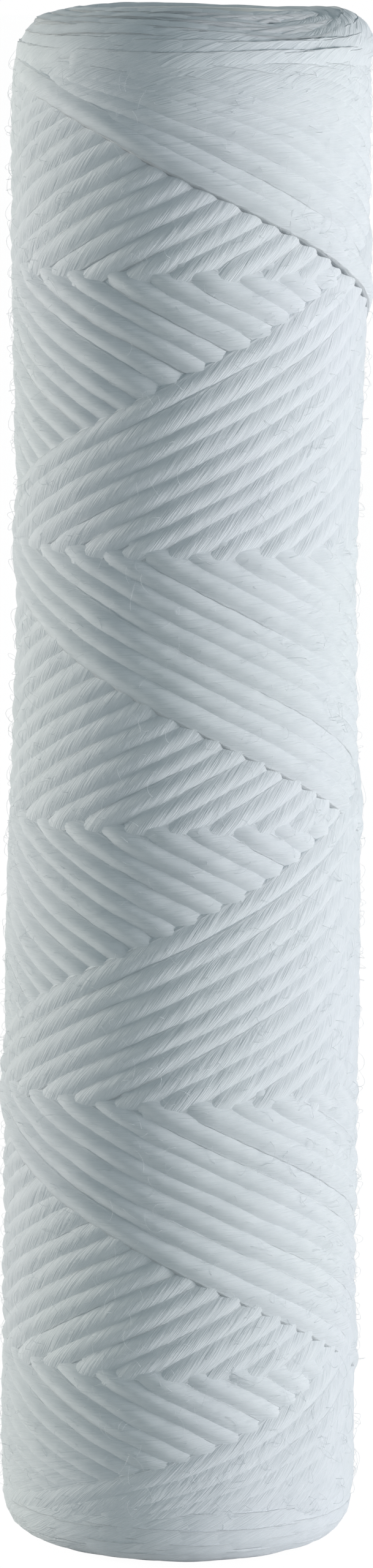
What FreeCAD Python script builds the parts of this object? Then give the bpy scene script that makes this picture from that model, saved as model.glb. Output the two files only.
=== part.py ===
import FreeCAD, Part
import math
import os

# Fibre water filter cartridge: yarn cross-wound in diamonds on a perforated centre core.
# The axis is +Z, the cartridge stands on z = 0, and lengths are millimetres, angles degrees.
# The side that faces a viewer in front is -Y.

# Whole cartridge
cartridge_length = 254.0
winding_diameter = 60.0
shoulder_radius = 7.0

# Shallow waist where the soft winding is thinner than at its ends
waist_depth = 1.3
waist_height = 162.0
waist_reach = 65.0

# Wound yarn: it climbs one lead in a turn, and the traverse sends it up and down by turns
winding_lead = 90.0
yarns_per_lead = 24
crown_share = 0.5
yarn_relief = 0.9
layer_step = 1.0

# The yarn turns back this far from each shoulder
turn_back_margin = 2.0

# A place where the newest upward and the newest downward yarn cross
crossing_height = 123.5
crossing_angle = -15.0

# Centre core, a moulded tube with windows between plain end rims
core_bore_diameter = 28.0
core_wall = 2.5
core_rim_height = 12.0
core_lead_in = 0.8
window_columns = 6
window_rows = 8
window_width = 6.5
window_rib_height = 4.0

# The winding sits on the core with this little room between them
winding_seat_gap = 0.2

turn_back_height = shoulder_radius + turn_back_margin
core_radius = core_bore_diameter / 2 + core_wall
winding_radius = winding_diameter / 2
winding_bore_radius = core_radius + winding_seat_gap

yarn_pitch = winding_lead / yarns_per_lead
crown_height = crown_share * yarn_pitch

# The surface is worked out at this many stations round the winding. Two points of a station
# stay one least step apart, and the yarn on top is looked up a little above each facet's edge.
stations = 30
least_step = yarn_pitch / 8
look_ahead = yarn_pitch / 4

# Angles that draw each shoulder's arc, counted from the flat end outwards
shoulder_angles = [0.0, 45.0, 90.0]


def climb(station):
    """Height that an upward yarn gains from the first station to this one."""
    return winding_lead * station / stations


def upward_number(station, height):
    """Which upward yarn lies nearest a height: 0 is the newest, and it counts upwards."""
    return round((height - crossing_height - climb(station)) / yarn_pitch)


def downward_number(station, height):
    """Which downward yarn lies nearest a height: 0 is the newest."""
    return round((height - crossing_height + climb(station)) / yarn_pitch)


def upward_newness(number):
    """1 for the upward yarn laid last, and less for each one below it."""
    return 1 - (-number % yarns_per_lead) / yarns_per_lead


def downward_newness(number):
    """1 for the downward yarn laid last, and less for each one above it."""
    return 1 - (number % yarns_per_lead) / yarns_per_lead


def upward_on_top(station, height):
    """Whether the yarn seen at a place is an upward one."""
    upward = upward_newness(upward_number(station, height))
    downward = downward_newness(downward_number(station, height))
    return upward >= downward


def waist(height):
    """Depth of the waist at a height."""
    share = abs(height - waist_height) / waist_reach
    if share >= 1:
        return 0.0
    return waist_depth * math.cos(math.pi / 2 * share) ** 2


def yarn_points(centre, groove_side, newness):
    """Section of one yarn at a station: height, radius and newness of crown edges and groove."""
    section = [
        (centre - crown_height / 2, 0.0),
        (centre + crown_height / 2, 0.0),
        (centre + groove_side * yarn_pitch / 2, yarn_relief),
    ]
    points = []
    for height, depth in section:
        radius = winding_radius - waist(height) - layer_step * (1 - newness) - depth
        points.append((height, radius, newness))
    return points


def on_side(height):
    """Whether a height is on the winding's side, between the places where the yarn turns back."""
    return turn_back_height < height < cartridge_length - turn_back_height


def visible_points(station):
    """Points of all yarns that lie on top at a station, unsorted."""
    points = []
    for number in range(upward_number(station, 0), upward_number(station, cartridge_length) + 1):
        centre = crossing_height + climb(station) + number * yarn_pitch
        for point in yarn_points(centre, -1, upward_newness(number)):
            if on_side(point[0]) and upward_on_top(station, point[0]):
                points.append(point)
    for number in range(downward_number(station, 0), downward_number(station, cartridge_length) + 1):
        centre = crossing_height - climb(station) + number * yarn_pitch
        for point in yarn_points(centre, 1, downward_newness(number)):
            if on_side(point[0]) and not upward_on_top(station, point[0]):
                points.append(point)
    return points


def side_profile(station):
    """Height and radius of the winding's side at a station, from the bottom up."""
    kept = []
    for point in sorted(visible_points(station)):
        too_close = kept and point[0] - kept[-1][0] < least_step
        if not too_close:
            kept.append(point)
        elif point[2] > kept[-1][2]:
            kept[-1] = point
    return [(height, radius) for height, radius, _ in kept]


def shoulder_profile():
    """Height and radius of the rounded lower end, from its flat end outwards."""
    centre_radius = winding_radius - shoulder_radius
    profile = []
    for angle in shoulder_angles:
        radius = centre_radius + shoulder_radius * math.sin(math.radians(angle))
        height = shoulder_radius * (1 - math.cos(math.radians(angle)))
        profile.append((height, radius))
    return profile


def station_profile(station):
    """Whole outline of the winding at a station, from the lower flat end to the upper one."""
    lower = shoulder_profile()
    upper = [(cartridge_length - height, radius) for height, radius in reversed(lower)]
    return lower + side_profile(station) + upper


def station_points(station):
    """The outline of a station as points in space."""
    angle = math.radians(crossing_angle + 360 * station / stations)
    return [
        FreeCAD.Vector(radius * math.cos(angle), radius * math.sin(angle), height)
        for height, radius in station_profile(station)
    ]


def rung_climb(station, height):
    """How much the yarns rise from a station to the next one: level where they turn back."""
    if not on_side(height):
        return 0.0
    if upward_on_top(station + 0.5, height + look_ahead):
        return climb(1)
    return -climb(1)


def facets_between(station, left, right, left_start, right_start):
    """Facets between two neighbouring stations, with their edges along the yarns."""
    facets = []
    low = 0
    high = 0
    while low < len(left) - 1 or high < len(right) - 1:
        middle = (left[low].z + right[high].z) / 2
        rise = rung_climb(station, middle)
        right_ended = high == len(right) - 1
        left_open = low < len(left) - 1
        rung = (left_start + low, right_start + high)
        if right_ended or (left_open and left[low + 1].z <= right[high + 1].z - rise + least_step / 2):
            low += 1
            facets.append(rung + (left_start + low,))
        else:
            high += 1
            facets.append(rung + (right_start + high,))
    return facets


def wound_surface(columns):
    """Outside of the winding as one open shell of facets."""
    points = [point for column in columns for point in column]
    starts = [sum(len(column) for column in columns[:station]) for station in range(stations)]
    facets = []
    for station in range(stations):
        following = (station + 1) % stations
        left = columns[station]
        right = columns[following]
        facets.extend(facets_between(station, left, right, starts[station], starts[following]))
    shape = Part.Shape()
    shape.makeShapeFromMesh((points, facets), 0.0001)
    return shape


def end_face(ring):
    """Flat end of the winding, from its shoulder to its bore."""
    outline = Part.makePolygon(ring + ring[:1])
    centre = FreeCAD.Vector(0, 0, ring[0].z)
    bore = Part.Circle(centre, FreeCAD.Vector(0, 0, 1), winding_bore_radius)
    return Part.makeFace([outline, Part.Wire(bore.toShape())], "Part::FaceMakerBullseye")


def make_yarn_winding():
    """The whole wound yarn as one solid."""
    columns = [station_points(station) for station in range(stations)]
    side = wound_surface(columns)
    lower_end = end_face([column[0] for column in columns])
    upper_end = end_face([column[-1] for column in columns])
    bore = Part.makeCylinder(winding_bore_radius, cartridge_length).Faces[0]
    shell = Part.makeShell(side.Faces + [lower_end, upper_end, bore])
    shell.sewShape()
    return Part.makeSolid(shell)


def core_tube():
    """Plain tube of the core, with a lead-in at each mouth of its bore."""
    bore_radius = core_bore_diameter / 2
    mouth_radius = bore_radius + core_lead_in
    profile = [
        FreeCAD.Vector(mouth_radius, 0, 0),
        FreeCAD.Vector(core_radius, 0, 0),
        FreeCAD.Vector(core_radius, 0, cartridge_length),
        FreeCAD.Vector(mouth_radius, 0, cartridge_length),
        FreeCAD.Vector(bore_radius, 0, cartridge_length - core_lead_in),
        FreeCAD.Vector(bore_radius, 0, core_lead_in),
    ]
    section = Part.Face(Part.makePolygon(profile + profile[:1]))
    return section.revolve(FreeCAD.Vector(0, 0, 0), FreeCAD.Vector(0, 0, 1), 360)


def core_windows():
    """Cutters for the windows, in straight columns and rows."""
    between_rims = cartridge_length - 2 * core_rim_height
    window_pitch = (between_rims + window_rib_height) / window_rows
    window_height = window_pitch - window_rib_height
    cutter_start = core_bore_diameter / 2 - core_wall
    cutter_depth = 3 * core_wall
    cutters = []
    for row in range(window_rows):
        base = core_rim_height + row * window_pitch
        for column in range(window_columns):
            corner = FreeCAD.Vector(cutter_start, -window_width / 2, base)
            cutter = Part.makeBox(cutter_depth, window_width, window_height, corner)
            cutter.rotate(FreeCAD.Vector(0, 0, 0), FreeCAD.Vector(0, 0, 1), 360 * column / window_columns)
            cutters.append(cutter)
    return Part.makeCompound(cutters)


def make_centre_core():
    """Perforated moulded core that the yarn is wound on."""
    return core_tube().cut(core_windows()).Solids[0]


os.makedirs("parts", exist_ok=True)
sub_parts = {
    "yarn_winding": make_yarn_winding(),
    "centre_core": make_centre_core(),
}
for name, shape in sub_parts.items():
    shape.exportStep(os.path.join("parts", name + ".step"))
    print(name, shape.ShapeType, "valid", shape.isValid(), "faces", len(shape.Faces), "mm3", round(shape.Volume))
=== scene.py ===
import math

import bpy
import numpy as np
from mathutils import Matrix, Vector


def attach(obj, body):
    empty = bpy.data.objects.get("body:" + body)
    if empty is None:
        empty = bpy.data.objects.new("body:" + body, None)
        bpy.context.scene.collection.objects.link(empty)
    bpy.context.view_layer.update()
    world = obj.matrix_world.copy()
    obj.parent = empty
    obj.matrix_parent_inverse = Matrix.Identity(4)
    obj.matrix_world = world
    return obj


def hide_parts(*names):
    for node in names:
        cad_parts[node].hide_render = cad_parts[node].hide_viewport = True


# Fibre water filter cartridge. One yarn is laid turn by turn, as the winding machine lays it,
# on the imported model's core. Lengths in the working-out are millimetres and angles degrees;
# the finished pieces, the lamps and the camera are in metres.

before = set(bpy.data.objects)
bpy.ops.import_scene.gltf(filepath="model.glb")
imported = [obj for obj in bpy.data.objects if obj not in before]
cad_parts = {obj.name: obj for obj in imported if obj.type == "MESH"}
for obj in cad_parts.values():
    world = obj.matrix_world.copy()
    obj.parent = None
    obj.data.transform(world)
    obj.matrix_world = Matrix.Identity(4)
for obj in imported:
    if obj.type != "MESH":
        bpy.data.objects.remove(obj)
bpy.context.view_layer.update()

METRE = 0.001
FULL_TURN = 360.0
HALF_TURN = FULL_TURN / 2

# Winding's outside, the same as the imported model's
CARTRIDGE_LENGTH = 254.0
OUTER_RADIUS = 29.96
SHOULDER_RADIUS = 7.0
WAIST_DEPTH = 1.3
WAIST_HEIGHT = 162.0
WAIST_REACH = 65.0
BORE_RADIUS = 16.7

# How the yarn is laid: lead of a turn, yarns in a lead, and a crossing of the two newest yarns
LEAD = 90.0
YARNS = 24
CROSSING_HEIGHT = 123.5
CROSSING_ANGLE = -15.0
PITCH = LEAD / YARNS
CLIMB = LEAD / FULL_TURN
ANGLE_STEP = FULL_TURN / YARNS

# Where the straight turns would meet beyond each end, as half leads from the crossing. A stroke
# goes down and up once, in this many turns less the step to the next yarn.
END_HALF_LEADS = 3
STROKE_TURNS = 2 * END_HALF_LEADS
LOWER_APEX = CROSSING_HEIGHT - END_HALF_LEADS * LEAD / 2
UPPER_APEX = CROSSING_HEIGHT - PITCH / 2 + END_HALF_LEADS * LEAD / 2
HALF_STROKE = (UPPER_APEX - LOWER_APEX) / CLIMB

# How far round the turns are rounded off at each end
LOWER_ROUNDING = 150.0
UPPER_ROUNDING = 95.0

# The last stroke is cut off behind the cartridge, this far round from its upper turning point,
# and it has slid up against the stroke before it
LAST_STRETCH = 285.0
LAST_SHIFT = 1.8
SHIFT_REACH = 60.0

# Yarn's flattened section: its crown, the belly below, and how far the belly flares out on the
# winding's side. The belly's points are given in half turns.
YARN_HALF_WIDTH = 1.97
YARN_RISE = 0.68
CREST = 1.9
CROWN_POINTS = 9
YARN_BELLY = 0.95
YARN_FLARE = 1.35
BELLY_POINTS = [1.1, 1.5, 1.9]
BELLY_POWER = 0.2
NO_FLARE = 1.0

# Two plies show as faint lobes that wind round the yarn, and fibre coordinates count this many
# millimetres for a radian of the section
PLY_RELIEF = 0.025
PLY_TWIST = 0.75
ROUND_SCALE = 1.3

# Where the yarn turns back it lies flatter, and where a stretch ends it tapers and dives under
TURN_BACK_RISE = 0.4
LEAST_STEEPNESS = 0.15
DIVE_STEPS = 3
END_DIVE = 0.8
END_SIZE = 0.5
TAPER_STEP = 0.25

# Unevenness along the yarn: size of each wave, and the length over which it changes
PLACE_WAVES = [(0.28, 48.0), (0.1, 11.0)]
WIDTH_WAVES = [(0.09, 30.0), (0.04, 6.0)]
LUMP_WAVES = [(0.13, 25.0), (0.05, 5.0)]
TINT_WAVES = [(1.0, 300.0)]

# The pile under the last cover: its depth, its ramp from the oldest yarns to the newest between
# two heights, the filling near each end with its place and spread, and what a turn adds
PILE_DEPTH = -1.64
RAMP_STEP = 0.7
RAMP_LOW = 25.0
RAMP_HIGH = 242.0
END_FILL = 0.45
LOWER_FILL = (4.0, 8.0)
UPPER_FILL = (246.0, 7.0)
LAYER = 0.72

# Working grid of the pile, the steps along the yarn, and the points across it
CELL = 0.4
LAY_STEP = 0.4
CHUNK = 64
SMOOTH_REACH = 12
SMOOTH_SIGMA = 4.5
ACROSS_EDGE = 0.97
ACROSS_POINTS = 13

# A step shows where it holds enough cells of the grid. What shows is meshed with a hidden margin,
# in groups from the oldest turns to the newest.
SHOWN_REACH = 9
LEAST_SHOWN = 3.0
HIDDEN_MARGIN = 15
MESH_EVERY = 3
TURN_GROUPS = ["yarn_turns_oldest", "yarn_turns_older", "yarn_turns_newer", "yarn_turns_newest"]

# Loose fibres that stand up from the yarn: they start a little under its crown and end deeper
FIBRES = 2600
FIBRE_POINTS = 8
FIBRE_SIDES = 3
FIBRE_RADIUS = 0.028
FIBRE_TAPER = 0.5
FIBRE_LENGTH = (1.5, 6.0)
FIBRE_CURL = 1.6
FIBRE_ARCH = (0.15, 0.75)
FIBRE_LEAN = 0.7
FIBRE_START_DEPTH = 0.1
FIBRE_SINK = 0.7

# Unevenness of the wound ends: angle, its spread, place along the outline, its spread, and rise
UPPER_UNEVENNESS = [
    (180.0, 60.0, 252.0, 6.0, -1.3),
    (12.0, 36.0, 252.5, 5.0, 1.8),
    (-48.0, 38.0, 256.5, 4.5, -2.5),
    (-40.0, 38.0, 251.0, 4.5, -2.0),
    (115.0, 40.0, 258.0, 7.0, 0.7),
    (-90.0, 85.0, 263.5, 4.0, 1.3),
]

# Rings of older turn-backs that show on the ends, from the bore outwards. Each lies lower than
# the one inside it, and past the first few each is flatter too.
UPPER_RINGS = 7
LOWER_RINGS = 7
UPPER_RING_LEVEL = 0.1
LOWER_RING_LEVEL = -0.2
RING_PITCH = 2.6
RING_DROP = 0.12
RING_RISE = 0.7
RING_FLATTENING = 0.08
EVEN_RINGS = 2

# An arc of such a ring: its shape to each side of its middle, and how far chance changes it
ARC_POINTS = 27
ARC_SPAN = 36.0
ARC_SLANT = 0.8
ARC_BOW = 1.2
ARC_DIVE = 1.7
ARC_TOP = 0.2
SPAN_CHANCE = 0.12
PLACE_CHANCE = 0.35
LEVEL_CHANCE = 0.12
WIDTH_CHANCE = 0.08

# Body of the deeper yarn: its grid, its level under the side and on the ends, where the one
# passes into the other, and the grain of its fibres round the winding
BED_COLUMNS = 120
BED_ROWS = 290
BED_LIFT = 0.3
END_BED = -0.75
BED_SIDE_REACH = 120.0
BED_BLEND = 6.0
BED_GRAIN = 0.5

# Its bore, where the innermost yarns cross
BORE_ROWS = 200
BORE_LEAD = 45.0
BORE_ROOM = 0.35
BORE_RELIEF = 0.14

RANDOM_SEED = 7
random = np.random.RandomState(RANDOM_SEED)


# Outline of the winding

CORNER = SHOULDER_RADIUS * math.pi / 2
SIDE_LOW = SHOULDER_RADIUS
SIDE_HIGH = CARTRIDGE_LENGTH - SHOULDER_RADIUS
FLAT_RADIUS = OUTER_RADIUS - SHOULDER_RADIUS
FLAT_LENGTH = FLAT_RADIUS - BORE_RADIUS
OUTLINE_LOW = SIDE_LOW - CORNER - FLAT_LENGTH
OUTLINE_HIGH = SIDE_HIGH + CORNER + FLAT_LENGTH


def waist(height):
    """Depth of the waist at a height."""
    share = np.clip(np.abs(height - WAIST_HEIGHT) / WAIST_REACH, 0, 1)
    return WAIST_DEPTH * np.cos(np.pi / 2 * share) ** 2


def outline(place):
    """Radius, height and outward direction at a place along the outline.

    On the side, a place is the height. It goes on round the shoulders and over the flat ends."""
    past_side = np.where(place > SIDE_HIGH, place - SIDE_HIGH, np.minimum(place - SIDE_LOW, 0))
    end = np.sign(past_side)
    bend = np.minimum(np.abs(past_side), CORNER) / SHOULDER_RADIUS
    along_flat = np.maximum(np.abs(past_side) - CORNER, 0)
    radius = FLAT_RADIUS + SHOULDER_RADIUS * np.cos(bend) - along_flat - waist(place)
    height = np.clip(place, SIDE_LOW, SIDE_HIGH) + end * SHOULDER_RADIUS * np.sin(bend)
    return radius, height, np.cos(bend), end * np.sin(bend)


def unevenness(angle, place):
    """How far the soft upper end stands in or out of the plain outline."""
    rise = np.zeros(np.broadcast(angle, place).shape)
    for middle, spread, centre, reach, amount in UPPER_UNEVENNESS:
        turn = (angle - middle + HALF_TURN) % FULL_TURN - HALF_TURN
        rise += amount * np.exp(-(turn / spread) ** 2 - ((place - centre) / reach) ** 2)
    return rise


def in_space(angle, place, rise):
    """Points and outward directions for places on the winding."""
    angle, place = np.broadcast_arrays(angle, place)
    radius, height, outward, upward = outline(place)
    rise = rise + unevenness(angle, place)
    radius = radius + rise * outward
    height = height + rise * upward
    turn = np.radians(angle)
    points = np.stack([radius * np.cos(turn), radius * np.sin(turn), height], axis=-1)
    normals = np.stack([outward * np.cos(turn), outward * np.sin(turn), upward], axis=-1)
    return points, normals


# Path of the yarn

def smooth_noise(count, spacing):
    """Random values between about -1 and 1 that change smoothly over a number of steps."""
    spare_knots = 4
    knots = random.uniform(-1, 1, int(count / spacing) + spare_knots)
    at = np.arange(count) / spacing
    low = at.astype(int)
    share = at - low
    share = share * share * (3 - 2 * share)
    return knots[low] * (1 - share) + knots[low + 1] * share


def with_waves(values, waves):
    """Values along the yarn with smooth random waves added, each of a size and a length."""
    for size, length in waves:
        values = values + size * smooth_noise(len(values), length / LAY_STEP)
    return values


def stroke_place(turned):
    """Place on the outline when the yarn has turned this far past its lower turning point."""
    away = np.abs(turned)
    straight = LOWER_APEX + CLIMB * away
    lower = LOWER_APEX + CLIMB * (LOWER_ROUNDING + away ** 2 / LOWER_ROUNDING) / 2
    to_top = HALF_STROKE - away
    upper = UPPER_APEX - CLIMB * (UPPER_ROUNDING + to_top ** 2 / UPPER_ROUNDING) / 2
    place = np.where(away < LOWER_ROUNDING, lower, straight)
    return np.where(to_top < UPPER_ROUNDING, upper, place)


def yarn_path():
    """Angle and place of the last cover's whole yarn, from the oldest stroke to its cut end."""
    slope = math.atan(CLIMB / math.radians(OUTER_RADIUS))
    step = math.degrees(LAY_STEP / OUTER_RADIUS) * math.cos(slope)
    turned = np.arange(-HALF_STROKE, HALF_STROKE, step)
    last = turned[turned < LAST_STRETCH - HALF_STROKE]
    angles = []
    places = []
    for laid, stroke in enumerate([turned] * YARNS + [last]):
        age = YARNS - 1 - laid
        lower_turn = CROSSING_ANGLE + HALF_TURN + ANGLE_STEP * age
        angles.append(lower_turn + stroke + FULL_TURN * STROKE_TURNS * laid)
        places.append(stroke_place(stroke))
    places[-1] = places[-1] + LAST_SHIFT * np.minimum((last + HALF_STROKE) / SHIFT_REACH, 1)
    return np.concatenate(angles), np.concatenate(places)


def newness(angle, height):
    """How new the up-going and down-going yarns are at a place, added together: 0 to 2."""
    climbed = CLIMB * (angle - CROSSING_ANGLE)
    up = (height - CROSSING_HEIGHT - climbed) / PITCH + 0.5
    down = (height - CROSSING_HEIGHT + climbed) / PITCH + 0.5
    return 1 - (-up % YARNS) / YARNS + 1 - (down % YARNS) / YARNS


# The pile of yarn

ANGLE_CELLS = int(FULL_TURN / math.degrees(CELL / OUTER_RADIUS))
PLACE_CELLS = int((OUTLINE_HIGH - OUTLINE_LOW) / CELL) + 1


def cell_of(angle, place):
    """Index of the grid cell under a place."""
    column = np.floor(angle * (ANGLE_CELLS / FULL_TURN)).astype(int) % ANGLE_CELLS
    row = np.clip(((place - OUTLINE_LOW) / CELL).astype(int), 0, PLACE_CELLS - 1)
    return column * PLACE_CELLS + row


def bell(place, centre, spread):
    """Bell curve along the outline, 1 at its centre."""
    return np.exp(-((place - centre) / spread) ** 2)


def bare_height(angle, place):
    """Height of the pile under the last cover, which stands out most where its yarns are new."""
    share = newness(angle, np.clip(place, RAMP_LOW, RAMP_HIGH))
    filled = END_FILL * (bell(place, *LOWER_FILL) + bell(place, *UPPER_FILL))
    return PILE_DEPTH + filled + RAMP_STEP * (share - 1)


def bare_pile():
    """The pile before the last cover is laid, as heights of the grid cells."""
    angle = (np.arange(ANGLE_CELLS) + 0.5) * FULL_TURN / ANGLE_CELLS
    place = OUTLINE_LOW + (np.arange(PLACE_CELLS) + 0.5) * CELL
    return bare_height(angle[:, None], place[None, :]).ravel()


def sideways(angle, place):
    """Direction across the yarn, as a turn in degrees and a step along the outline per millimetre."""
    radius = outline(place)[0]
    turn_step = np.radians(np.gradient(angle)) * radius
    place_step = np.gradient(place)
    length = np.hypot(turn_step, place_step)
    return -np.degrees(place_step / length / radius), turn_step / length


def footprint(angle, place, widths):
    """Grid cells under the yarn: a row of them across it for each step of its path."""
    turn, step = sideways(angle, place)
    return cell_of(angle[:, None] + turn[:, None] * widths, place[:, None] + step[:, None] * widths)


def smoothing_weights():
    """Weights that smooth the height of the pile along the yarn."""
    steps = np.arange(-SMOOTH_REACH, SMOOTH_REACH + 1)
    weights = np.exp(-0.5 * (steps / SMOOTH_SIGMA) ** 2)
    return weights / weights.sum()


def settle(pile, owner, cells, heights, first_step):
    """Lays a few steps of yarn on the pile where they are the higher, and makes them its owners."""
    steps = np.repeat(np.arange(first_step, first_step + len(cells)), cells.shape[1])
    here = cells.ravel()
    heights = heights.ravel()
    order = np.argsort(heights)
    order = order[heights[order] > pile[here[order]]]
    pile[here[order]] = heights[order]
    owner[here[order]] = steps[order]


def lay_yarn(angle, place, half_width, rise, lift):
    """Lays the yarn on the pile. Gives the height of its crown, and the step on top in each cell.

    The pile under the next stretch is read before a stretch is laid, so the yarn never climbs
    on itself."""
    pile = bare_pile()
    owner = np.full(pile.shape, -1)
    shares = np.linspace(-ACROSS_EDGE, ACROSS_EDGE, ACROSS_POINTS)
    cells = footprint(angle, place, half_width[:, None] * shares)
    drop = rise[:, None] * (1 - (1 - shares ** 2) ** CREST)
    weights = smoothing_weights()
    count = len(angle)
    under = np.zeros(count)
    crown = np.zeros(count)
    under[:CHUNK] = pile[cells[:CHUNK]].mean(axis=1)
    for start in range(0, count, CHUNK):
        stop = min(start + CHUNK, count)
        ahead = min(stop + CHUNK, count)
        under[stop:ahead] = pile[cells[stop:ahead]].mean(axis=1)
        first = max(start - SMOOTH_REACH, 0)
        last = min(stop + SMOOTH_REACH, count)
        padded = np.pad(under[first:last], SMOOTH_REACH, mode="edge")
        smooth = np.convolve(padded, weights, mode="valid")
        crown[start:stop] = smooth[start - first:stop - first] + lift[start:stop]
        settle(pile, owner, cells[start:stop], crown[start:stop, None] - drop[start:stop], start)
    return crown, owner


# Meshes

def seen_runs(seen):
    """First and last steps of each stretch of yarn that shows, with a hidden margin."""
    grown = np.convolve(seen.astype(float), np.ones(2 * HIDDEN_MARGIN + 1), mode="same") > 0
    edges = np.flatnonzero(np.diff(np.concatenate([[0], grown.astype(int), [0]])))
    return edges.reshape(-1, 2)


def square_directions(points, normals):
    """Directions across the yarn and outwards, both square to it, at each of its points."""
    tangents = np.gradient(points, axis=0)
    tangents /= np.linalg.norm(tangents, axis=1)[:, None]
    sides = np.cross(tangents, normals)
    sides /= np.linalg.norm(sides, axis=1)[:, None]
    return sides, np.cross(sides, tangents)


def yarn_section(flare):
    """Points of the yarn's section: turn, flare, share of the rise and share of the belly."""
    turn = np.concatenate([np.linspace(0, np.pi, CROWN_POINTS), np.pi * np.array(BELLY_POINTS)])
    flares = np.repeat([NO_FLARE, flare], [CROWN_POINTS, len(BELLY_POINTS)])
    upper = np.maximum(np.sin(turn), 0) ** (2 * CREST)
    lower = -np.abs(np.minimum(np.sin(turn), 0)) ** BELLY_POWER
    return turn, flares, upper, lower


def yarn_rings(angle, place, crown, half_width, rise, along, tint, flare=NO_FLARE):
    """Section points and fibre coordinates of one stretch of yarn, tapered where it dives under."""
    steps = np.arange(len(angle))
    from_end = np.minimum(steps, steps[::-1])
    dive = END_DIVE * (1 - np.minimum(from_end / DIVE_STEPS, 1)) ** 2
    taper = np.minimum(1, END_SIZE + TAPER_STEP * from_end)
    turn, flares, upper, lower = yarn_section(flare)
    lobes = 1 + PLY_RELIEF * np.cos(2 * (turn[None, :] - along[:, None] * PLY_TWIST))
    wide = (half_width * taper)[:, None] * np.cos(turn) * flares * lobes
    high = ((taper * rise)[:, None] * upper + taper[:, None] * YARN_BELLY * lower) * lobes
    points, normals = in_space(angle, place, crown - rise - dive)
    sides, outward = square_directions(points, normals)
    rings = points[:, None, :] + wide[..., None] * sides[:, None, :]
    rings = rings + high[..., None] * outward[:, None, :]
    fibre = np.broadcast_arrays(along[:, None], turn * ROUND_SCALE, tint[:, None])
    return rings, np.stack(fibre, axis=-1)


def tube_faces(start, rings, around):
    """Quads along a tube, and the fans that close its two ends at the two points that follow it."""
    ring = np.arange(rings - 1)[:, None] * around
    here = np.arange(around)[None, :]
    following = (here + 1) % around
    corners = [ring + here, ring + around + here, ring + around + following, ring + following]
    quads = np.stack(corners, axis=-1)
    first_tip = rings * around
    last = (rings - 1) * around
    here = here[0]
    following = following[0]
    first_fan = np.stack([np.full(around, first_tip), here, following], axis=-1)
    last_fan = np.stack([np.full(around, first_tip + 1), last + following, last + here], axis=-1)
    return quads.reshape(-1, 4) + start, np.concatenate([first_fan, last_fan]) + start


def mesh_piece(name, points, quads, triangles, fibre):
    """A new object from arrays of points (mm), quads, triangles and fibre coordinates."""
    mesh = bpy.data.meshes.new(name)
    mesh.vertices.add(len(points))
    mesh.vertices.foreach_set("co", (points * METRE).ravel())
    corners = np.concatenate([quads.ravel(), triangles.ravel()])
    mesh.loops.add(len(corners))
    mesh.loops.foreach_set("vertex_index", corners)
    mesh.polygons.add(len(quads) + len(triangles))
    quad_starts = np.arange(len(quads)) * 4
    triangle_starts = quads.size + np.arange(len(triangles)) * 3
    starts = np.concatenate([quad_starts, triangle_starts])
    mesh.polygons.foreach_set("loop_start", starts)
    mesh.polygons.foreach_set("use_smooth", np.ones(len(starts), dtype=bool))
    mesh.update(calc_edges=True)
    layer = mesh.attributes.new("fibre", "FLOAT_VECTOR", "POINT")
    layer.data.foreach_set("vector", fibre.ravel())
    piece = bpy.data.objects.new(name, mesh)
    bpy.context.scene.collection.objects.link(piece)
    return piece


def yarn_piece(name, stretches):
    """One object from many stretches of yarn, each a closed tube."""
    points = []
    fibres = []
    quads = []
    triangles = []
    start = 0
    for rings, fibre in stretches:
        tips = rings[[0, -1]].mean(axis=1)
        more_quads, more_triangles = tube_faces(start, *rings.shape[:2])
        points += [rings.reshape(-1, 3), tips]
        fibres += [fibre.reshape(-1, 3), fibre[[0, -1], 0]]
        quads.append(more_quads)
        triangles.append(more_triangles)
        start += rings.shape[0] * rings.shape[1] + len(tips)
    return mesh_piece(name, *map(np.concatenate, (points, quads, triangles, fibres)))


# The last cover

def steepness(angle, place):
    """Climb of the yarn compared with its climb on the side: less where it turns back."""
    climb = np.abs(np.gradient(place) / np.gradient(angle))
    return np.clip(climb / CLIMB, LEAST_STEEPNESS, 1)


def last_cover():
    """The yarn of the last cover, and which of its steps show.

    Its rows are the angle, place, crown, half width, rise, length along it and tint of a step."""
    angle, place = yarn_path()
    count = len(angle)
    place = with_waves(place, PLACE_WAVES)
    half_width = YARN_HALF_WIDTH * with_waves(np.ones(count), WIDTH_WAVES)
    lumps = with_waves(np.zeros(count), LUMP_WAVES)
    tint = with_waves(np.zeros(count), TINT_WAVES)
    steep = steepness(angle, place)
    rise = YARN_RISE * (TURN_BACK_RISE + (1 - TURN_BACK_RISE) * steep)
    crown, owner = lay_yarn(angle, place, half_width, rise, LAYER * steep + lumps)
    shown = np.bincount(owner[owner >= 0], minlength=count)
    seen = np.convolve(shown, np.ones(SHOWN_REACH) / SHOWN_REACH, mode="same") > LEAST_SHOWN
    along = np.arange(count) * LAY_STEP
    return np.stack([angle, place, crown, half_width, rise, along, tint]), seen


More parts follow.
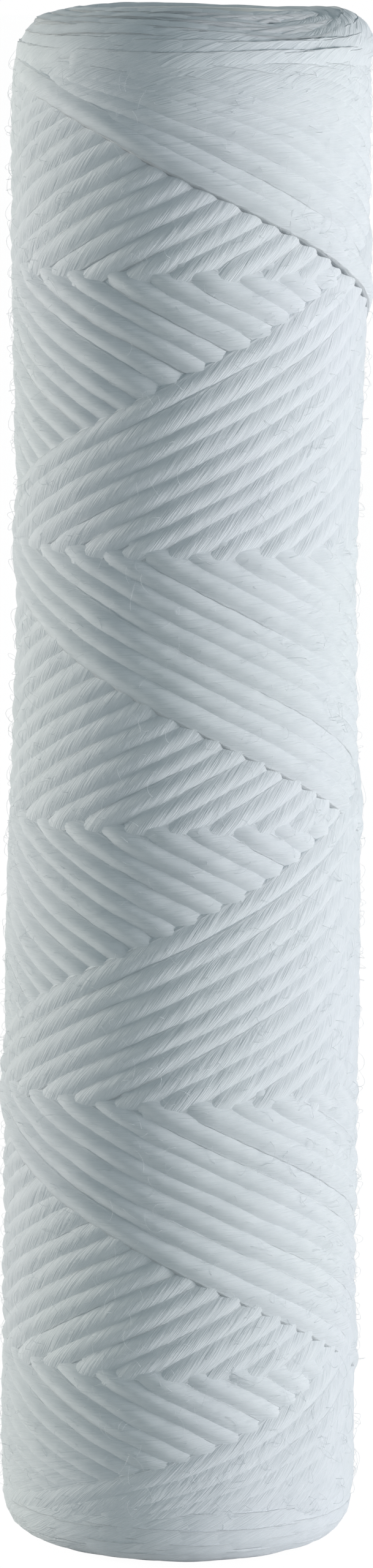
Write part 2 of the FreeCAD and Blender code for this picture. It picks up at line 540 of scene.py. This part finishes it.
def loose_fibres(angle, place, crown):
    """Fine fibres that arch up out of the yarn and end in it again."""
    share = np.linspace(0, 1, FIBRE_POINTS)[None, :]
    length = random.uniform(*FIBRE_LENGTH, (FIBRES, 1))
    heading = random.uniform(0, 2 * np.pi, (FIBRES, 1))
    curl = random.uniform(-FIBRE_CURL, FIBRE_CURL, (FIBRES, 1))
    arch = random.uniform(*FIBRE_ARCH, (FIBRES, 1))
    turned = heading + curl * share
    across = angle[:, None] + np.degrees(length * share * np.cos(turned) / OUTER_RADIUS)
    up = place[:, None] + length * share * np.sin(turned)
    rise = crown[:, None] - FIBRE_START_DEPTH - FIBRE_SINK * share
    rise = rise + 2 * arch * np.sin(np.pi * share ** FIBRE_LEAN)
    points, normals = in_space(across, up, rise)
    sides = np.cross(np.gradient(points, axis=1), normals)
    sides /= np.linalg.norm(sides, axis=2)[..., None]
    corner = np.arange(FIBRE_SIDES) * 2 * np.pi / FIBRE_SIDES
    offsets = np.cos(corner)[:, None] * sides[:, :, None, :]
    offsets = offsets + np.sin(corner)[:, None] * normals[:, :, None, :]
    thickness = FIBRE_RADIUS * (1 - FIBRE_TAPER * share)[..., None, None]
    rings = points[:, :, None, :] + thickness * offsets
    fibre = np.zeros(rings.shape[1:])
    return yarn_piece("yarn_loose_fibres", [(ring, fibre) for ring in rings])


def wound_side():
    """Every stretch of the last cover that shows, in groups by age, and its loose fibres."""
    yarn, seen = last_cover()
    groups = [[] for _ in TURN_GROUPS]
    group_steps = len(seen) // len(groups)
    for first, last in seen_runs(seen):
        stretch = yarn_rings(*yarn[:, first:last:MESH_EVERY], YARN_FLARE)
        groups[min(first // group_steps, len(groups) - 1)].append(stretch)
    pieces = [yarn_piece(name, group) for name, group in zip(TURN_GROUPS, groups)]
    angle, place, crown = yarn[:3, random.choice(np.flatnonzero(seen), FIBRES, replace=False)]
    return pieces + [loose_fibres(angle, place, crown)]


# The ends and the deeper yarn

def chance(size):
    """A random value up to a size, either way."""
    return size * random.uniform(-1, 1)


def ring_arc(middle, place, outward, level, flatness):
    """One older turn-back on an end: an arc that comes up from under its neighbours and dives again."""
    share = np.linspace(-1, 1, ARC_POINTS)
    angle = middle + ARC_SPAN * (1 + chance(SPAN_CHANCE)) * share
    inner = place + outward * (ARC_SLANT * share - ARC_BOW * share ** 2) + chance(PLACE_CHANCE)
    crown = level - ARC_DIVE * (share - ARC_TOP) ** 2 + chance(LEVEL_CHANCE)
    half_width = np.full(ARC_POINTS, YARN_HALF_WIDTH * (1 + chance(WIDTH_CHANCE)))
    rise = np.full(ARC_POINTS, YARN_RISE * flatness)
    along = np.radians(angle) * outline(inner)[0]
    tint = np.full(ARC_POINTS, chance(1))
    return yarn_rings(angle, inner, crown, half_width, rise, along, tint)


def wound_end(name, flat_end, outward, rings, top_level):
    """Rings of older turn-backs on one end, from the bore to the shoulder."""
    stretches = []
    for ring in range(rings):
        place = flat_end - outward * (YARN_HALF_WIDTH + ring * RING_PITCH)
        level = top_level - RING_DROP * ring
        flatness = RING_RISE - RING_FLATTENING * max(ring - EVEN_RINGS, 0)
        start = random.uniform(0, FULL_TURN)
        for number in range(YARNS):
            middle = start + number * ANGLE_STEP
            stretches.append(ring_arc(middle, place, outward, level, flatness))
    return yarn_piece(name, stretches)


def bed_outside(angle):
    """Points of the bed under the side and the ends, from the lower mouth of its bore to the upper."""
    places = np.linspace(OUTLINE_LOW, OUTLINE_HIGH, BED_ROWS)[None, :]
    from_middle = np.abs(places - CARTRIDGE_LENGTH / 2)
    on_end = np.clip((from_middle - BED_SIDE_REACH) / BED_BLEND, 0, 1)
    pile = bare_height(angle, places)
    pile = np.minimum(np.minimum(np.roll(pile, 1, 0), np.roll(pile, -1, 0)), pile)
    points, _ = in_space(angle, places, (1 - on_end) * (pile + BED_LIFT) + on_end * END_BED)
    return points


def bed_bore(angle):
    """Points of the bed's bore, from the top down, with the relief of the yarns that cross there."""
    heights = np.linspace(CARTRIDGE_LENGTH + END_BED, -END_BED, BORE_ROWS)[None, 1:-1]
    climbed = BORE_LEAD * angle / FULL_TURN
    up = np.cos(2 * np.pi * (heights - climbed) / PITCH)
    down = np.cos(2 * np.pi * (heights + climbed) / PITCH)
    radius = BORE_RADIUS + BORE_ROOM - BORE_RELIEF * np.maximum(up, down)
    turn = np.radians(angle)
    heights = np.broadcast_to(heights, radius.shape)
    return np.stack([radius * np.cos(turn), radius * np.sin(turn), heights], axis=-1)


def yarn_bed():
    """Closed body of the deeper yarn, under the turns that are laid out one by one."""
    angle = np.arange(BED_COLUMNS)[:, None] * FULL_TURN / BED_COLUMNS
    loops = np.concatenate([bed_outside(angle), bed_bore(angle)], axis=1)
    numbers = np.arange(loops.shape[0] * loops.shape[1]).reshape(loops.shape[:2])
    following = np.roll(numbers, -1, axis=0)
    corners = [numbers, following, np.roll(following, -1, axis=1), np.roll(numbers, -1, axis=1)]
    quads = np.stack(corners, axis=-1).reshape(-1, 4)
    no_triangles = np.zeros((0, 3), dtype=int)
    points = loops.reshape(-1, 3)
    x, y, z = points.T
    fibre = np.stack([np.degrees(np.arctan2(y, x)) * BED_GRAIN, z, np.zeros(len(z))], axis=-1)
    return mesh_piece("yarn_bed", points, quads, no_triangles, fibre)


# Materials

YARN_GREENISH = (0.80, 0.85, 0.845)
YARN_BLUISH = (0.825, 0.84, 0.90)
YARN_SHADE = (0.60, 0.65, 0.69)
FIBRE_TWIST = -0.36
TINT_SPREAD = 40.0
SHADE_SHARE = 0.95
YARN_ROUGHNESS = 0.78
YARN_ROUGHNESS_SPREAD = 0.2
FINE_BUMP_SHARE = 0.6

PLASTIC_DARK = (0.74, 0.755, 0.74)
PLASTIC_LIGHT = (0.82, 0.83, 0.82)
PLASTIC_ROUGHNESS = 0.38
PLASTIC_ROUGHNESS_SPREAD = 0.15


def new_material(name):
    """A new material with its node tree and its shader."""
    material = bpy.data.materials.new(name)
    material.use_nodes = True
    tree = material.node_tree
    return material, tree, tree.nodes["Principled BSDF"]


def new_node(tree, kind, **inputs):
    """A node with some of its inputs set by name."""
    made = tree.nodes.new(kind)
    for name, value in inputs.items():
        made.inputs[name.replace("_", " ")].default_value = value
    return made


def math_node(tree, operation, first, second):
    """A math node on two sockets or numbers."""
    made = tree.nodes.new("ShaderNodeMath")
    made.operation = operation
    for slot, value in enumerate([first, second]):
        if isinstance(value, (int, float)):
            made.inputs[slot].default_value = value
        else:
            tree.links.new(value, made.inputs[slot])
    return made.outputs[0]


def noise(tree, vector, scale, detail, roughness):
    """A noise texture on a vector, from 0 to 1."""
    made = new_node(tree, "ShaderNodeTexNoise", Scale=scale, Detail=detail, Roughness=roughness)
    tree.links.new(vector, made.inputs["Vector"])
    return made.outputs["Fac"]


def mixed_colour(tree, share, first, second):
    """A mix of two colours by a socket."""
    made = tree.nodes.new("ShaderNodeMix")
    made.data_type = "RGBA"
    made.clamp_factor = True
    tree.links.new(share, made.inputs[0])
    for slot, colour in ((6, first), (7, second)):
        if isinstance(colour, tuple):
            made.inputs[slot].default_value = (*colour, 1)
        else:
            tree.links.new(colour, made.inputs[slot])
    return made.outputs[2]


def dress(tree, shader, colour, roughness, height, strength, depth):
    """Gives a shader its colour, its roughness and a bump of some strength and depth (metres)."""
    bump = new_node(tree, "ShaderNodeBump", Strength=strength, Distance=depth)
    tree.links.new(height, bump.inputs["Height"])
    tree.links.new(bump.outputs[0], shader.inputs["Normal"])
    tree.links.new(colour, shader.inputs["Base Color"])
    tree.links.new(roughness, shader.inputs["Roughness"])


def yarn_coordinates(tree):
    """Length along the yarn, place round it with its twist, and tint, from the fibre coordinates."""
    attribute = tree.nodes.new("ShaderNodeAttribute")
    attribute.attribute_name = "fibre"
    parts = tree.nodes.new("ShaderNodeSeparateXYZ")
    tree.links.new(attribute.outputs["Vector"], parts.inputs[0])
    along, around, tint = parts.outputs
    twisted = math_node(tree, "ADD", around, math_node(tree, "MULTIPLY", along, FIBRE_TWIST))
    return along, twisted, tint


def fibre_noise(tree, coordinates, length, width, detail, roughness):
    """Noise drawn out along the twisted fibres, of a length and width in millimetres."""
    along, twisted, tint = coordinates
    vector = tree.nodes.new("ShaderNodeCombineXYZ")
    tree.links.new(math_node(tree, "DIVIDE", along, length), vector.inputs[0])
    tree.links.new(math_node(tree, "DIVIDE", twisted, width), vector.inputs[1])
    tree.links.new(math_node(tree, "MULTIPLY", tint, TINT_SPREAD), vector.inputs[2])
    return noise(tree, vector.outputs[0], 1.0, detail, roughness)


def spun_yarn():
    """Soft spun yarn: twisted fibres, a little uneven in colour, dull with a faint sheen."""
    material, tree, shader = new_material("spun_yarn")
    coordinates = yarn_coordinates(tree)
    fine = fibre_noise(tree, coordinates, length=5.0, width=0.16, detail=3.0, roughness=0.6)
    coarse = fibre_noise(tree, coordinates, length=9.0, width=0.6, detail=2.0, roughness=0.5)
    place = tree.nodes.new("ShaderNodeTexCoord").outputs["Object"]
    cloud = noise(tree, place, scale=28.0, detail=2.0, roughness=0.5)
    mottle = noise(tree, place, scale=330.0, detail=2.0, roughness=0.6)
    pale = mixed_colour(tree, cloud, YARN_GREENISH, YARN_BLUISH)
    shade = math_node(tree, "MULTIPLY", math_node(tree, "MULTIPLY", fine, mottle), SHADE_SHARE)
    colour = mixed_colour(tree, shade, pale, YARN_SHADE)
    unevenly = math_node(tree, "MULTIPLY", coarse, YARN_ROUGHNESS_SPREAD)
    roughness = math_node(tree, "ADD", YARN_ROUGHNESS, unevenly)
    height = math_node(tree, "ADD", math_node(tree, "MULTIPLY", fine, FINE_BUMP_SHARE), coarse)
    dress(tree, shader, colour, roughness, height, strength=0.8, depth=0.00026)
    shader.inputs["Sheen Weight"].default_value = 0.15
    shader.inputs["Sheen Roughness"].default_value = 0.6
    shader.inputs["Specular IOR Level"].default_value = 0.25
    return material


def moulded_plastic():
    """Natural white moulded plastic of the core, with a faint grain."""
    material, tree, shader = new_material("moulded_plastic")
    place = tree.nodes.new("ShaderNodeTexCoord").outputs["Object"]
    grain = noise(tree, place, scale=900.0, detail=3.0, roughness=0.6)
    cloud = noise(tree, place, scale=40.0, detail=2.0, roughness=0.5)
    colour = mixed_colour(tree, cloud, PLASTIC_DARK, PLASTIC_LIGHT)
    unevenly = math_node(tree, "MULTIPLY", grain, PLASTIC_ROUGHNESS_SPREAD)
    roughness = math_node(tree, "ADD", PLASTIC_ROUGHNESS, unevenly)
    dress(tree, shader, colour, roughness, grain, strength=0.25, depth=0.00005)
    return material


# The object

yarn_material = spun_yarn()
side_pieces = wound_side()
end_pieces = [
    wound_end("yarn_upper_end", OUTLINE_HIGH, 1, UPPER_RINGS, UPPER_RING_LEVEL),
    wound_end("yarn_lower_end", OUTLINE_LOW, -1, LOWER_RINGS, LOWER_RING_LEVEL),
]
for piece in side_pieces + end_pieces + [yarn_bed()]:
    piece.data.materials.append(yarn_material)
    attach(piece, "root")
    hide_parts("yarn_winding")

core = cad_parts["centre_core"]
core_material = moulded_plastic()
if not core.material_slots:
    core.data.materials.append(core_material)
for held in core.material_slots:
    held.material = core_material


# Floor, light and camera

WHITE = (1.0, 1.0, 1.0, 1.0)
FLOOR_COLOUR = (0.9, 0.9, 0.9, 1.0)
FLOOR_HALF = 6.0
FLOOR_LEVEL = -0.00005
FLOOR_GLOW = 1.05
FLOOR_GLOW_SHARE = 0.93
AMBIENT_COLOUR = (0.76, 0.94, 1.0, 1.0)
AMBIENT_STRENGTH = 0.28


def background_rays(tree):
    """1 for the rays that see the white background: straight, mirrored or through glass. Else 0."""
    path = tree.nodes.new("ShaderNodeLightPath")
    either = math_node(tree, "MAXIMUM", path.outputs["Is Camera Ray"], path.outputs["Is Glossy Ray"])
    return math_node(tree, "MAXIMUM", either, path.outputs["Is Transmission Ray"])


def shader_mix(tree, output_kind, share, first, second):
    """Leads a mix of two shader nodes to a new output."""
    mix = tree.nodes.new("ShaderNodeMixShader")
    output = tree.nodes.new(output_kind)
    tree.links.new(share, mix.inputs[0])
    tree.links.new(first.outputs[0], mix.inputs[1])
    tree.links.new(second.outputs[0], mix.inputs[2])
    tree.links.new(mix.outputs[0], output.inputs[0])


def pale_floor():
    """Wide pale floor that looks white to the camera and keeps a soft shadow."""
    quarters = ((-1, -1), (1, -1), (1, 1), (-1, 1))
    corners = [(x * FLOOR_HALF, y * FLOOR_HALF, FLOOR_LEVEL) for x, y in quarters]
    mesh = bpy.data.meshes.new("floor")
    mesh.from_pydata(corners, [], [(0, 1, 2, 3)])
    floor = bpy.data.objects.new("floor", mesh)
    bpy.context.scene.collection.objects.link(floor)
    material = bpy.data.materials.new("pale_floor")
    material.use_nodes = True
    tree = material.node_tree
    tree.nodes.clear()
    paint = new_node(tree, "ShaderNodeBsdfDiffuse", Color=FLOOR_COLOUR)
    glow = new_node(tree, "ShaderNodeEmission", Color=WHITE, Strength=FLOOR_GLOW)
    share = math_node(tree, "MULTIPLY", background_rays(tree), FLOOR_GLOW_SHARE)
    shader_mix(tree, "ShaderNodeOutputMaterial", share, paint, glow)
    mesh.materials.append(material)


def pale_world():
    """White to the camera, and a dim bluish light on the object."""
    world = bpy.data.worlds.new("studio")
    bpy.context.scene.world = world
    world.use_nodes = True
    tree = world.node_tree
    tree.nodes.clear()
    dim = new_node(tree, "ShaderNodeBackground", Color=AMBIENT_COLOUR, Strength=AMBIENT_STRENGTH)
    white = new_node(tree, "ShaderNodeBackground", Color=WHITE, Strength=1.0)
    shader_mix(tree, "ShaderNodeOutputWorld", background_rays(tree), dim, white)


def soft_box(name, bearing, distance, height, size, power, colour):
    """Area lamp aimed at the cartridge's middle. Its bearing counts from the camera to the right."""
    lamp = bpy.data.lights.new(name, "AREA")
    lamp.shape = "RECTANGLE"
    lamp.size = size[0]
    lamp.size_y = size[1]
    lamp.energy = power
    lamp.color = colour
    holder = bpy.data.objects.new(name, lamp)
    bpy.context.scene.collection.objects.link(holder)
    turn = math.radians(bearing)
    holder.location = (distance * math.sin(turn), -distance * math.cos(turn), height)
    aim = Vector((0, 0, CARTRIDGE_LENGTH / 2 * METRE)) - holder.location
    holder.rotation_euler = aim.to_track_quat("-Z", "Y").to_euler()


CAMERA_DISTANCE = 1.270
CAMERA_HEIGHT = 0.3065
CAMERA_AIM = Vector((0.00035, 0, 0.1265))
CAMERA_ROLL = 0.0103
CAMERA_LENS = 177.9
CAMERA_SENSOR = 36.0
CAMERA_NEAREST = 0.05
CAMERA_FARTHEST = 50.0


def make_camera():
    """Camera at the photograph's viewing angle."""
    data = bpy.data.cameras.new("camera")
    data.sensor_width = CAMERA_SENSOR
    data.lens = CAMERA_LENS
    data.clip_start = CAMERA_NEAREST
    data.clip_end = CAMERA_FARTHEST
    camera = bpy.data.objects.new("camera", data)
    bpy.context.scene.collection.objects.link(camera)
    place = Vector((0, -CAMERA_DISTANCE, CAMERA_HEIGHT))
    forward = (CAMERA_AIM - place).normalized()
    right = forward.cross(Vector((0, 0, 1))).normalized()
    up = right.cross(forward)
    rolled_right = math.cos(CAMERA_ROLL) * right + math.sin(CAMERA_ROLL) * up
    rolled_up = -math.sin(CAMERA_ROLL) * right + math.cos(CAMERA_ROLL) * up
    turned = Matrix((rolled_right, rolled_up, -forward)).transposed()
    camera.matrix_world = Matrix.Translation(place) @ turned.to_4x4()
    bpy.context.scene.camera = camera


KEY_LAMP = {
    "bearing": 73.5,
    "distance": 1.5,
    "height": 0.17,
    "size": (0.5, 0.32),
    "power": 16.3,
    "colour": (1.0, 0.98, 0.985),
}
FILL_LAMP = {
    "bearing": -105.0,
    "distance": 1.5,
    "height": 0.36,
    "size": (0.5, 0.32),
    "power": 13.4,
    "colour": (1.0, 0.95, 0.87),
}

pale_floor()
pale_world()
soft_box("key", **KEY_LAMP)
soft_box("fill", **FILL_LAMP)
make_camera()
bpy.context.scene.view_settings.view_transform = "Standard"
